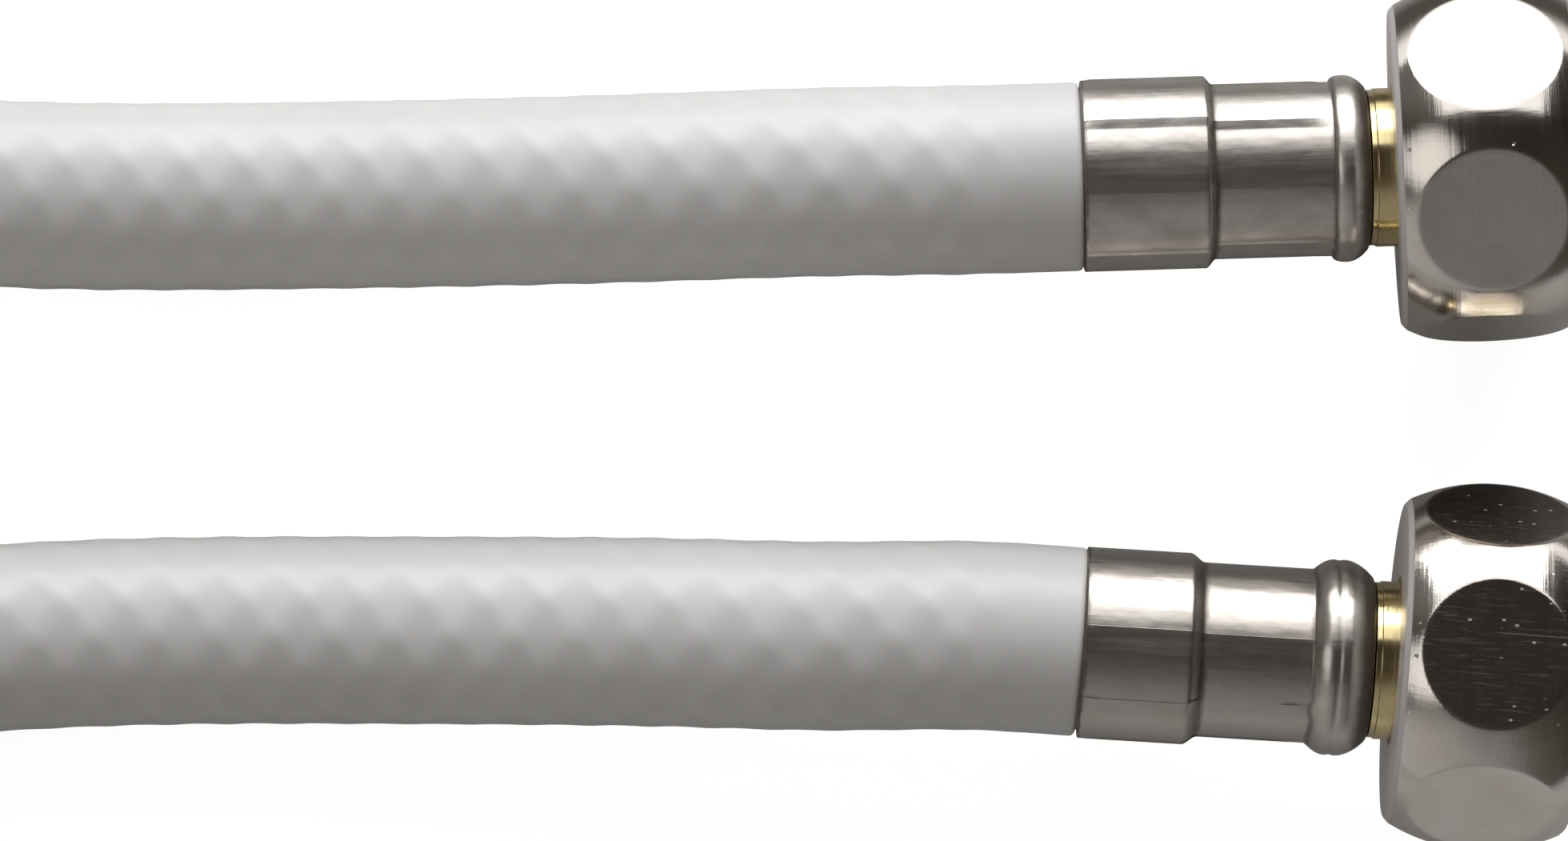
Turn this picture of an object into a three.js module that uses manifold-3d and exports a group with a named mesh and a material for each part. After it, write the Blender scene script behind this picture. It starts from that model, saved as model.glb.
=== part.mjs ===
// Connection hose: a smooth white hose, laid in a loop, with a swivelling union nut on each end.
// Millimetres, +Z up. The origin is on the floor, midway between the two end fittings.
// Both fittings point along +X, and the hose leaves them towards -X.
import * as THREE from 'three';
import { mergeVertices } from 'three/addons/utils/BufferGeometryUtils.js';
import Module from 'manifold-3d';

const wasm = await Module();
wasm.setup();

// Hose
const HOSE_D = 13.5;
const HOSE_BORE_D = 8;
const HOSE_SIDES = 12;
const HOSE_RING_STEP = 27;
const MOUTH_GAP = 0.3;

// How the ferrule squeezes the hose: depth on the radius, and the clearance left to the sleeve.
const FIRST_SQUEEZE = 0.55;
const SECOND_SQUEEZE = 1.17;
const GRIP_GAP = 0.2;

// Crimp ferrule, measured along its axis from its mouth
const FERRULE_WALL = 0.45;
const FERRULE_LENGTH = 20.8;
const LIP_D = 11.9;
const LIP_ROUNDING = 0.7;
const RIDGE_COUNT = 8;
const RIDGE_WIDTH = 0.8;
const RIDGE_HEIGHT = 0.12;

// The two ferrules were crimped a little differently.
const BACK_BAND = 8.7;
const BACK_SHOULDER = 0.7;
const BACK_BEAD_START = 17.7;
const BACK_BEAD_WIDTH = 2.3;
const BACK_BEAD_RISE = 0.4;
const BACK_RIDGE_TURN = 15.6;
const FRONT_BAND = 7.4;
const FRONT_SHOULDER = 1.1;
const FRONT_BEAD_START = 16.2;
const FRONT_BEAD_WIDTH = 4;
const FRONT_BEAD_RISE = 0.77;
const FRONT_RIDGE_TURN = -7.5;

// Brass hose tail
const TAIL_BORE_D = 5.8;
const TAIL_START = 1;
const BARB_COUNT = 4;
const BARB_PITCH = 3.4;
const BARB_HEIGHT = 0.35;
const BARB_GAP = 0.15;
const SHANK_WALL = 0.95;
const GROOVE_DEPTH = 0.9;
const LIP_GAP = 0.3;
const CATCH_LENGTH = 1.2;
const COLLAR_D = 11.3;
const COLLAR_CHAMFER = 0.25;
const FLANGE_THICKNESS = 1.6;

// Union nut, a hexagon turned to a ball so that each flat ends in a round edge
const NUT_ACROSS_FLATS = 24;
const NUT_BALL_D = 26.2;
const NUT_LENGTH = 12.9;
const NUT_FACE_D = 22.4;
const NUT_EDGE = 0.4;
const NUT_BACK_WALL = 2;
const NUT_HOLE_PLAY = 0.4;
const THREAD_BORE_D = 18.64;
const THREAD_LEAD_IN = 0.8;

// How the nut sits on the tail. Play is the clearance on the radius to the nut's thread bore.
const NUT_TO_FERRULE = 1.5;
const NUT_TO_FLANGE = 0.9;
const COCK_POINT = 3.5;
const FLANGE_PLAY = 1.12;

// Flat seal
const SEAL_PLAY = 0.62;
const SEAL_WIDTH = 3.7;
const SEAL_THICKNESS = 2;
const SEAL_GAP = 0.25;

// Where the two ends lie. Angles in degrees: yaw turns towards +Y, slope and lift raise the nose,
// and roll turns a flat from the top towards +Y. A loose nut's yaw and lift are from its tail's.
const END_X = 7.94;
const BACK_Y = 18.02;
const BACK_YAW = 1.7;
const BACK_NUT_YAW = 0.9;
const BACK_NUT_LIFT = 3;
const BACK_NUT_ROLL = 39;
const FRONT_Y = -17.56;
const FRONT_YAW = -3.4;
const FRONT_NUT_YAW = -0.8;
const FRONT_NUT_LIFT = 0.9;
const FRONT_NUT_ROLL = 6.4;
const FITTING_SLOPE = 1;

// Points the hose passes through, from the back fitting to the front one. Its centre line comes
// down from the fittings' height and then lies on the floor, in a loop.
const STRAIGHT_OUT = 8;
const HOSE_ROUTE = [
  [-35, 16.9, 12],
  [-46, 16.6, 11],
  [-58, 16.3, 9.4],
  [-71, 16.1, 7.8],
  [-84, 16, 7],
  [-97.5, 16.3, 6.8],
  [-113.8, 18.7, 6.8],
  [-128.4, 25.5, 6.8],
  [-140.8, 36.4, 6.8],
  [-156, 49.4, 6.8],
  [-174.6, 56.1, 6.8],
  [-194.4, 56.1, 6.8],
  [-213, 49.4, 6.8],
  [-228.2, 36.6, 6.8],
  [-238.1, 19.5, 6.8],
  [-241.5, 0, 6.8],
  [-238.1, -19.5, 6.8],
  [-228.2, -36.6, 6.8],
  [-213, -49.4, 6.8],
  [-194.4, -56.1, 6.8],
  [-174.6, -56.1, 6.8],
  [-156, -49.4, 6.8],
  [-140.8, -36.4, 6.8],
  [-128.4, -25.6, 6.8],
  [-113.8, -18.6, 6.8],
  [-97.5, -16, 6.8],
  [-84, -15.4, 7],
  [-71, -15.3, 7.8],
  [-58, -15.3, 9.3],
  [-46, -15.4, 10.8],
  [-35, -15.6, 11.7],
];

// Sizes that follow from those above
const hoseRadius = HOSE_D / 2;
const collarRadius = COLLAR_D / 2;
const tailBoreRadius = TAIL_BORE_D / 2;
const shankRadius = tailBoreRadius + SHANK_WALL;
const barbRadius = shankRadius + BARB_HEIGHT;
const grooveRadius = collarRadius - GROOVE_DEPTH;
const flangeRadius = THREAD_BORE_D / 2 - FLANGE_PLAY;
const sealRadius = THREAD_BORE_D / 2 - SEAL_PLAY;
const collarStart = FERRULE_LENGTH + LIP_GAP;
const nutBack = FERRULE_LENGTH + NUT_TO_FERRULE;
const flangeBack = nutBack + NUT_BACK_WALL + NUT_TO_FLANGE;
const flangeFront = flangeBack + FLANGE_THICKNESS;
const cockPoint = nutBack + COCK_POINT;

const nickel = { color: 0xb9b5ae, roughness: 0.2, metalness: 1 };
const steel = { color: 0xa9a49d, roughness: 0.24, metalness: 1 };
const brass = { color: 0xc9b26b, roughness: 0.26, metalness: 1 };
const rubber = { color: 0x2b2a29, roughness: 0.8, metalness: 0 };
const plastic = { color: 0xd9dadb, roughness: 0.38, metalness: 0 };

function radians(degrees) {
  return THREE.MathUtils.degToRad(degrees);
}

// Turns a closed profile of [distance along the axis, radius] pairs about the X axis.
function turned(profile, segments) {
  const points = profile.map(([along, radius]) => new THREE.Vector2(radius, along));
  points.push(points[0].clone());
  return new THREE.LatheGeometry(points, segments).rotateZ(-Math.PI / 2);
}

function named(name, geometry, look) {
  const mesh = new THREE.Mesh(geometry, new THREE.MeshStandardMaterial(look));
  mesh.name = name;
  return mesh;
}

// A closed geometry as a solid that can be cut and joined.
function solidOf(geometry) {
  const bare = geometry.clone();
  bare.deleteAttribute('normal');
  bare.deleteAttribute('uv');
  const merged = mergeVertices(bare, 1e-4);
  return new wasm.Manifold(new wasm.Mesh({
    numProp: 3,
    vertProperties: new Float32Array(merged.getAttribute('position').array),
    triVerts: new Uint32Array(merged.getIndex().array),
  }));
}

function geometryOf(solid) {
  const mesh = solid.getMesh();
  const geometry = new THREE.BufferGeometry();
  geometry.setAttribute('position', new THREE.Float32BufferAttribute(mesh.vertProperties, 3));
  geometry.setIndex(new THREE.Uint32BufferAttribute(mesh.triVerts, 1));
  geometry.computeVertexNormals();
  return geometry;
}

// The hexagon, cut by a ball and bored for the thread. Its back face is at zero.
function unionNutGeometry() {
  const ball = NUT_BALL_D / 2;
  const middle = NUT_LENGTH / 2;
  const bore = THREAD_BORE_D / 2;
  const hole = collarRadius + NUT_HOLE_PLAY;
  const outside = [[0, NUT_FACE_D / 2]];
  const arcSteps = 8;
  for (let i = 0; i <= arcSteps; i += 1) {
    const along = NUT_EDGE + ((NUT_LENGTH - 2 * NUT_EDGE) * i) / arcSteps;
    outside.push([along, Math.sqrt(ball * ball - (along - middle) * (along - middle))]);
  }
  outside.push([NUT_LENGTH, NUT_FACE_D / 2]);
  const inside = [
    [NUT_LENGTH, bore + THREAD_LEAD_IN],
    [NUT_LENGTH - THREAD_LEAD_IN, bore],
    [NUT_BACK_WALL, bore],
    [NUT_BACK_WALL, hole],
    [0, hole],
  ];
  const body = solidOf(turned([...outside, ...inside], 40));
  const corner = NUT_ACROSS_FLATS / 2 / Math.cos(Math.PI / 6);
  const prism = new THREE.CylinderGeometry(corner, corner, NUT_LENGTH, 6, 1, false, Math.PI / 6);
  prism.rotateZ(-Math.PI / 2).translate(middle, 0, 0);
  return geometryOf(body.intersect(solidOf(prism)));
}

// Outer radii of the two crimped bands of a ferrule, from the hose that they grip.
function bandRadius(squeeze) {
  return hoseRadius - squeeze + GRIP_GAP + FERRULE_WALL;
}

// Outside of a ferrule from mouth to lip: two bands, a rounded bead and the turned-in end.
function ferruleOutside(end) {
  const first = bandRadius(FIRST_SQUEEZE);
  const second = bandRadius(SECOND_SQUEEZE);
  const bead = second + end.beadRise;
  const lip = LIP_D / 2;
  const beadMiddle = end.beadStart + end.beadWidth / 2;
  return [
    [0, first],
    [end.band, first],
    [end.band + end.shoulder * 0.6, first - (first - second) * 0.45],
    [end.band + end.shoulder, second],
    [end.beadStart, second],
    [end.beadStart + end.beadWidth * 0.15, second + end.beadRise * 0.75],
    [beadMiddle, bead],
    [beadMiddle + end.beadWidth * 0.32, second + end.beadRise * 0.72],
    [FERRULE_LENGTH - LIP_ROUNDING * 0.4, lip + (second - lip) * 0.8],
    [FERRULE_LENGTH, lip],
  ];
}

// Inside of a ferrule, one wall below its outside, from lip to mouth.
function ferruleInside(end) {
  const first = bandRadius(FIRST_SQUEEZE) - FERRULE_WALL;
  const second = bandRadius(SECOND_SQUEEZE) - FERRULE_WALL;
  const lipHole = grooveRadius + LIP_GAP;
  const beadMiddle = end.beadStart + end.beadWidth / 2;
  return [
    [FERRULE_LENGTH, lipHole],
    [FERRULE_LENGTH - FERRULE_WALL, lipHole],
    [FERRULE_LENGTH - FERRULE_WALL, LIP_D / 2 - FERRULE_WALL],
    [beadMiddle, second + end.beadRise],
    [end.beadStart, second],
    [end.band + end.shoulder, second],
    [end.band, first],
    [0, first],
  ];
}

// Raises a narrow ridge between each two crimping jaws. Six columns of points make one pitch:
// four carry the ridge, and two stand on the plain wall between ridges.
function raiseRidges(geometry, profileCount, outsideCount, ridgeEnd, turn) {
  const half = RIDGE_WIDTH / 2 / bandRadius(FIRST_SQUEEZE);
  const pitch = (2 * Math.PI) / RIDGE_COUNT;
  const plain = (pitch - 2 * half) / 3;
  const angles = [-half, -half * 0.45, half * 0.45, half, half + plain, half + 2 * plain];
  const position = geometry.getAttribute('position');
  for (let i = 0; i < position.count; i += 1) {
    const column = Math.floor(i / (profileCount + 1)) % (RIDGE_COUNT * 6);
    const rank = (i % (profileCount + 1)) % profileCount;
    const along = position.getX(i);
    const onRidge = rank < outsideCount && along < ridgeEnd && [1, 2].includes(column % 6);
    const angle = turn + Math.floor(column / 6) * pitch + angles[column % 6];
    const radius = Math.hypot(position.getY(i), position.getZ(i)) + (onRidge ? RIDGE_HEIGHT : 0);
    position.setXYZ(i, along, -radius * Math.sin(angle), radius * Math.cos(angle));
  }
  geometry.computeVertexNormals();
  return geometry;
}

function ferruleGeometry(end) {
  const outside = ferruleOutside(end);
  const profile = [...outside, ...ferruleInside(end)];
  const plain = turned(profile, RIDGE_COUNT * 6);
  const turn = radians(end.ridgeTurn);
  return raiseRidges(plain, profile.length, outside.length, end.beadStart - 0.1, turn);
}

// The tail: a barbed shank in the hose, a groove for the ferrule's lip, the collar that the nut
// turns on, and the flange that the nut pulls on.
function tailGeometry() {
  const outside = [[TAIL_START, shankRadius]];
  for (let i = 0; i < BARB_COUNT; i += 1) {
    const edge = TAIL_START + 0.6 + (i + 1) * BARB_PITCH;
    outside.push([edge, barbRadius]);
    outside.push([edge, shankRadius]);
  }
  const grooveStart = FERRULE_LENGTH - FERRULE_WALL - LIP_GAP;
  const catchRadius = grooveRadius + LIP_GAP + 0.3;
  outside.push([grooveStart - CATCH_LENGTH, shankRadius]);
  outside.push([grooveStart - CATCH_LENGTH, catchRadius]);
  outside.push([grooveStart, catchRadius]);
  outside.push([grooveStart, grooveRadius]);
  outside.push([collarStart, grooveRadius]);
  outside.push([collarStart, collarRadius - COLLAR_CHAMFER]);
  outside.push([collarStart + COLLAR_CHAMFER, collarRadius]);
  outside.push([flangeBack, collarRadius]);
  outside.push([flangeBack, flangeRadius]);
  outside.push([flangeFront, flangeRadius]);
  const inside = [[flangeFront, tailBoreRadius], [TAIL_START, tailBoreRadius]];
  return turned([...outside, ...inside], 32);
}

function sealGeometry() {
  const back = flangeFront + SEAL_GAP;
  const front = back + SEAL_THICKNESS;
  return turned([
    [back, sealRadius],
    [front, sealRadius],
    [front, sealRadius - SEAL_WIDTH],
    [back, sealRadius - SEAL_WIDTH],
  ], 36);
}

// One end: ferrule, tail and seal in a group along the tail's axis, and the nut, cocked a little
// about the point where the two axes cross. The group is lowered until the nut rests on the floor.
function fitting(end) {
  const group = new THREE.Group();
  group.rotation.set(0, radians(-FITTING_SLOPE), radians(end.yaw), 'ZYX');
  const pieces = [
    named(`${end.name}_ferrule`, ferruleGeometry(end), steel),
    named(`${end.name}_hose_tail`, tailGeometry(), brass),
    named(`${end.name}_flat_seal`, sealGeometry(), rubber),
  ];
  for (const piece of pieces) {
    piece.position.x = -cockPoint;
    group.add(piece);
  }
  const cocked = new THREE.Group();
  cocked.rotation.set(0, radians(-end.nutLift), radians(end.nutYaw), 'ZYX');
  const nut = named(`${end.name}_union_nut`, unionNutGeometry(), nickel);
  nut.geometry.translate(-COCK_POINT, 0, 0);
  nut.rotation.x = radians(-end.nutRoll);
  cocked.add(nut);
  group.add(cocked);
  group.position.set(END_X, end.y, 0);
  group.updateMatrixWorld(true);
  group.position.z = -new THREE.Box3().setFromObject(nut, true).min.z;
  group.updateMatrixWorld(true);
  return group;
}

// The round section of the hose, with its bore.
function hoseSection() {
  const shape = new THREE.Shape();
  const bore = new THREE.Path();
  for (let i = 0; i < HOSE_SIDES; i += 1) {
    const angle = (2 * Math.PI * i) / HOSE_SIDES;
    const x = Math.cos(angle);
    const y = Math.sin(angle);
    if (i === 0) {
      shape.moveTo(x * hoseRadius, y * hoseRadius);
      bore.moveTo((x * HOSE_BORE_D) / 2, (y * HOSE_BORE_D) / 2);
    } else {
      shape.lineTo(x * hoseRadius, y * hoseRadius);
      bore.lineTo((x * HOSE_BORE_D) / 2, (y * HOSE_BORE_D) / 2);
    }
  }
  shape.closePath();
  bore.closePath();
  shape.holes.push(bore);
  return shape;
}

// A point on a fitting's axis, behind the ferrule's mouth, in the part's frame.
function behindMouth(group, distance) {
  return group.localToWorld(new THREE.Vector3(-cockPoint - distance, 0, 0));
}

// The squeezed end of the hose inside a ferrule, over the tail's barbs.
function squeezedEnd(end, group) {
  const bore = barbRadius + BARB_GAP;
  const first = hoseRadius - FIRST_SQUEEZE;
  const second = hoseRadius - SECOND_SQUEEZE;
  const start = -MOUTH_GAP - 0.5;
  const stop = end.beadStart - 0.4;
  const profile = [
    [start, first],
    [end.band - 0.1, first],
    [end.band + end.shoulder - 0.1, second],
    [stop, second],
    [stop, bore],
    [start, bore],
  ];
  const geometry = turned(profile, 32).translate(-cockPoint, 0, 0);
  return solidOf(geometry.applyMatrix4(group.matrixWorld));
}

// The hose in one piece: the free length along its route, and its two squeezed ends.
function hoseGeometry(back, backGroup, front, frontGroup) {
  const points = [
    behindMouth(backGroup, MOUTH_GAP),
    behindMouth(backGroup, STRAIGHT_OUT),
    ...HOSE_ROUTE.map(([x, y, z]) => new THREE.Vector3(x, y, z)),
    behindMouth(frontGroup, STRAIGHT_OUT),
    behindMouth(frontGroup, MOUTH_GAP),
  ];
  const route = new THREE.CatmullRomCurve3(points);
  const steps = Math.round(route.getLength() / HOSE_RING_STEP);
  const tube = new THREE.ExtrudeGeometry(hoseSection(), { steps, extrudePath: route });
  const free = solidOf(tube);
  const ends = squeezedEnd(back, backGroup).add(squeezedEnd(front, frontGroup));
  return geometryOf(free.add(ends));
}

const backEnd = {
  name: 'back',
  y: BACK_Y,
  yaw: BACK_YAW,
  nutYaw: BACK_NUT_YAW,
  nutLift: BACK_NUT_LIFT,
  nutRoll: BACK_NUT_ROLL,
  band: BACK_BAND,
  shoulder: BACK_SHOULDER,
  beadStart: BACK_BEAD_START,
  beadWidth: BACK_BEAD_WIDTH,
  beadRise: BACK_BEAD_RISE,
  ridgeTurn: BACK_RIDGE_TURN,
};

const frontEnd = {
  name: 'front',
  y: FRONT_Y,
  yaw: FRONT_YAW,
  nutYaw: FRONT_NUT_YAW,
  nutLift: FRONT_NUT_LIFT,
  nutRoll: FRONT_NUT_ROLL,
  band: FRONT_BAND,
  shoulder: FRONT_SHOULDER,
  beadStart: FRONT_BEAD_START,
  beadWidth: FRONT_BEAD_WIDTH,
  beadRise: FRONT_BEAD_RISE,
  ridgeTurn: FRONT_RIDGE_TURN,
};

const backFitting = fitting(backEnd);
const frontFitting = fitting(frontEnd);
const connectionHose = new THREE.Group();
connectionHose.add(backFitting, frontFitting);
connectionHose.add(named('hose', hoseGeometry(backEnd, backFitting, frontEnd, frontFitting), plastic));

export default connectionHose;
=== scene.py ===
import logging
import math
from collections.abc import Callable, Sequence
from dataclasses import dataclass
from enum import Enum
from typing import Any

import bmesh
import bpy
import numpy as np
from mathutils import Euler, Matrix, Vector


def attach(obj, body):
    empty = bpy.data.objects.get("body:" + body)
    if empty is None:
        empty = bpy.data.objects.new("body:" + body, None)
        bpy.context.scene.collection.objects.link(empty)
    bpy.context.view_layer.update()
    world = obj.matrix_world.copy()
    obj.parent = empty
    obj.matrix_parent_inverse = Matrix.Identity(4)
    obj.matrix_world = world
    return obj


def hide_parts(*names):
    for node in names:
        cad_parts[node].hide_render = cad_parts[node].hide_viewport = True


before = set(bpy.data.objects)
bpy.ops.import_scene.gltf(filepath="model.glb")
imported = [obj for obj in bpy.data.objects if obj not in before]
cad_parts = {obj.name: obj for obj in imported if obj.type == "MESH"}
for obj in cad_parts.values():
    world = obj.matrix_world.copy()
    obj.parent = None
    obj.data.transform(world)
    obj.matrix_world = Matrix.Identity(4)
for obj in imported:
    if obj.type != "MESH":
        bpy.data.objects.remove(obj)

# A smooth white connection hose, laid in a loop, with the same fitting on each end: a crimp
# ferrule, a brass tail, a flat seal and a union nut. The pieces' sizes are millimetres and their
# angles degrees. The finishes and the studio are in metres, as Blender's objects are.

MM = 0.001
BLACK = (0.0, 0.0, 0.0)
WHITE = (1.0, 1.0, 1.0)
ALL_ROUND = np.linspace(0, 2 * math.pi, 144, endpoint=False)
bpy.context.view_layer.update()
log = logging.getLogger("connection_hose")

Profile = list[tuple[float, float]]
Triple = tuple[float, float, float]


# ---------------------------------------------------------------------------------------------
# Shader nodes


class Wire:
    """A shader socket that takes part in plain arithmetic."""

    def __init__(self, sheet: "NodeSheet", socket: bpy.types.NodeSocket) -> None:
        """Keeps the socket and the sheet that its sums are written on."""
        self.sheet = sheet
        self.socket = socket

    def _sum(self, operation: str, first: Any, second: Any) -> "Wire":
        """Adds one Math node."""
        node = self.sheet.node("ShaderNodeMath", {"operation": operation}, {0: first, 1: second})
        return self.sheet.out(node)

    def __add__(self, other: Any) -> "Wire":
        """self + other."""
        return self._sum("ADD", self, other)

    def __radd__(self, other: Any) -> "Wire":
        """other + self."""
        return self._sum("ADD", other, self)

    def __sub__(self, other: Any) -> "Wire":
        """self - other."""
        return self._sum("SUBTRACT", self, other)

    def __rsub__(self, other: Any) -> "Wire":
        """other - self."""
        return self._sum("SUBTRACT", other, self)

    def __mul__(self, other: Any) -> "Wire":
        """self * other."""
        return self._sum("MULTIPLY", self, other)

    def __rmul__(self, other: Any) -> "Wire":
        """other * self."""
        return self._sum("MULTIPLY", other, self)

    def wave(self) -> "Wire":
        """A cosine with one period for each whole number, between 0 and 1."""
        return 0.5 + 0.5 * self._sum("COSINE", self * (2 * math.pi), 0.0)

    def at_least(self, other: Any) -> "Wire":
        """The larger of the two."""
        return self._sum("MAXIMUM", self, other)


class NodeSheet:
    """The node tree of one material or world, with a single way to add a node."""

    def __init__(self, tree: bpy.types.NodeTree) -> None:
        """Starts from an empty tree."""
        self.tree = tree
        tree.nodes.clear()

    def node(
        self,
        kind: str,
        settings: dict[str, Any] | None = None,
        sockets: dict[str | int, Any] | None = None,
    ) -> bpy.types.Node:
        """Adds a node.

        Args:
            kind: The node's type name.
            settings: Its settings, set before its sockets. "stops" are a ramp's stops.
            sockets: Its inputs by name or place, each a plain value or a Wire.

        Returns:
            The new node.
        """
        node = self.tree.nodes.new(kind)
        for name, value in (settings or {}).items():
            if name == "stops":
                self._set_stops(node, value)
            else:
                setattr(node, name, value)
        for name, value in (sockets or {}).items():
            if isinstance(value, Wire):
                self.tree.links.new(value.socket, node.inputs[name])
            else:
                node.inputs[name].default_value = value
        return node

    def _set_stops(self, node: bpy.types.Node, stops: Sequence[tuple[float, Any]]) -> None:
        """Sets a ramp's stops.

        Args:
            node: A colour ramp.
            stops: Pairs of a place from 0 to 1 and a grey or a colour.
        """
        elements = node.color_ramp.elements
        elements.remove(elements[1])
        for i, (place, shade) in enumerate(stops):
            element = elements.new(place) if i else elements[0]
            element.position = place
            colour = (shade, shade, shade) if isinstance(shade, (int, float)) else tuple(shade)
            element.color = (*colour[:3], 1.0)

    def out(self, node: bpy.types.Node, name: str | int = 0) -> Wire:
        """One output of a node as a Wire."""
        return Wire(self, node.outputs[name])

    def ramp(self, value: Wire, stops: Sequence[tuple[float, Any]], smooth: bool = False) -> Wire:
        """A colour ramp over a value.

        Args:
            value: The value from 0 to 1.
            stops: The ramp's stops.
            smooth: Whether it eases between the stops.

        Returns:
            The ramp's colour.
        """
        node = self.node("ShaderNodeValToRGB", {"stops": stops}, {0: value})
        node.color_ramp.interpolation = "EASE" if smooth else "LINEAR"
        return self.out(node)

    def mix(self, factor: Any, first: Any, second: Any) -> Wire:
        """Mixes two colours.

        Args:
            factor: How much of the second.
            first: Red, green and blue, or a Wire.
            second: Red, green and blue, or a Wire.

        Returns:
            The mixed colour.
        """
        sockets: dict[str | int, Any] = {"Factor": factor}
        for place, shade in ((6, first), (7, second)):
            sockets[place] = shade if isinstance(shade, Wire) else (*shade, 1.0)
        return self.out(self.node("ShaderNodeMix", {"data_type": "RGBA"}, sockets), 2)

    def axes(self, point: Wire) -> list[Wire]:
        """The three parts of a point or a direction, X first."""
        parts = self.node("ShaderNodeSeparateXYZ", {}, {0: point})
        return [self.out(parts, name) for name in "XYZ"]

    def place(self, scale: Sequence[float]) -> Wire:
        """The point on the object in its own axes, stretched.

        Args:
            scale: Cycles per metre along the three axes.

        Returns:
            The scaled point.
        """
        point = self.out(self.node("ShaderNodeTexCoord"), "Object")
        return self.out(self.node(
            "ShaderNodeVectorMath", {"operation": "MULTIPLY"}, {0: point, 1: tuple(scale)}))

    def noise(self, scale: Sequence[float], detail: float = 2.0, rough: float = 0.5) -> Wire:
        """Soft noise in the object's own axes.

        Args:
            scale: Cycles per metre along the three axes.
            detail: Octaves.
            rough: How strong the finer octaves are.

        Returns:
            A value around 0.5.
        """
        node = self.node(
            "ShaderNodeTexNoise", {"noise_dimensions": "3D"},
            {"Vector": self.place(scale), "Scale": 1.0, "Detail": detail, "Roughness": rough})
        return self.out(node, "Fac")

    def dots(self, scale: Sequence[float], size: float, soft: float, share: float) -> Wire:
        """Sparse round dots, each in a cell of its own.

        Args:
            scale: Cells per metre along the three axes.
            size: A dot's radius in cells.
            soft: How far its edge fades, in cells.
            share: How many of the cells have a dot, from 0 to 1.

        Returns:
            1 in a dot and 0 outside it.
        """
        cell = self.node(
            "ShaderNodeTexVoronoi", {"feature": "F1"},
            {"Vector": self.place(scale), "Scale": 1.0, "Randomness": 1.0})
        near = self.ramp(self.out(cell, "Distance"), [(size, 1.0), (size + soft, 0.0)])
        parts = self.node("ShaderNodeSeparateColor", {}, {0: self.out(cell, "Color")})
        chosen = self.ramp(self.out(parts, 0), [(share, 1.0), (share + 0.001, 0.0)])
        return near * chosen

    def bump(self, height: Wire, depth: float, under: Wire | None = None) -> Wire:
        """A bump of a given depth.

        Args:
            height: The height from 0 to 1.
            depth: What a height of 1 is, in metres.
            under: A normal that this one lies on.

        Returns:
            The bent normal.
        """
        sockets: dict[str | int, Any] = {"Strength": 1.0, "Distance": depth, "Height": height}
        if under is not None:
            sockets["Normal"] = under
        return self.out(self.node("ShaderNodeBump", {}, sockets))

    def surface(self, sockets: dict[str | int, Any]) -> None:
        """Ends a material in one Principled shader with the given inputs."""
        shader = self.node("ShaderNodeBsdfPrincipled", {}, sockets)
        self.node("ShaderNodeOutputMaterial", {}, {"Surface": self.out(shader)})


def new_sheet(name: str) -> tuple[bpy.types.Material, NodeSheet]:
    """Starts a material.

    Args:
        name: Its name.

    Returns:
        The material and its empty node sheet.
    """
    material = bpy.data.materials.new(name)
    material.use_nodes = True
    return material, NodeSheet(material.node_tree)


# ---------------------------------------------------------------------------------------------
# Finishes


@dataclass(frozen=True)
class HosePlastic:
    """White soft plastic that follows the braid under it, with painted shade in the braid's
    grooves.
    """

    colour: Triple = (0.8, 0.79, 0.78)
    # The darker colour, used both for random tone and for painted shade in the braid's grooves.
    tone_and_shade_colour: Triple = (0.75, 0.74, 0.73)
    roughness: float = 0.34
    braid_depth: float = 0.00009
    grain_depth: float = 0.000003

    def _braid(self, sheet: NodeSheet, turns: float, ends: tuple[float, float]) -> Wire:
        """The finer part of the braid's relief, from the skin's own map.

        Args:
            sheet: The material's node sheet.
            turns: How many strands one side passes from end to end.
            ends: Shares of the hose over which the braid comes up at each end.

        Returns:
            The relief from 0 to 1.
        """
        mapped = sheet.out(sheet.node("ShaderNodeUVMap", {"uv_map": "skin"}))
        along, around, _ = sheet.axes(mapped)
        main = around - along
        cross = (around + along).wave()
        uneven = sheet.noise((170, 170, 170), 2.0)
        strand = 0.5 * main.wave() + 0.2 * (main * 2).wave() + 0.3 * cross
        both = 0.75 * strand + 0.25 * main.wave() * cross
        start, full = ends
        show = sheet.ramp(along * (1 / turns), [
            (0.0, 0.0), (start, 0.0), (full, 1.0), (1 - full, 1.0), (1 - start, 0.0)], True)
        return both * show * (0.6 + 0.8 * uneven)

    def make(self, turns: float, ends: tuple[float, float]) -> bpy.types.Material:
        """Builds the material.

        Args:
            turns: How many strands one side passes from end to end.
            ends: Shares of the hose over which the braid comes up at each end.

        Returns:
            The material.
        """
        material, sheet = new_sheet("hose_plastic")
        braid = self._braid(sheet, turns, ends)
        cloud = sheet.noise((90, 90, 90), 2.0)
        grain = sheet.noise((2600, 2600, 2600), 2.0)
        # Darker in soft random clouds, which is the plastic's own tone, and darker in the braid's
        # grooves, which is painted shade.
        cloud_tone_and_groove_shade = 0.6 * sheet.ramp(cloud, [(0.35, 0.0), (0.65, 1.0)]) + 0.4 * (1 - braid)
        sheet.surface({
            "Base Color": sheet.mix(cloud_tone_and_groove_shade, self.colour, self.tone_and_shade_colour),
            "Roughness": self.roughness + 0.05 * (cloud - 0.5) + 0.06 * (grain - 0.5),
            "IOR": 1.5,
            "Normal": sheet.bump(braid, self.braid_depth, sheet.bump(grain, self.grain_depth)),
        })
        return material


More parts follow.
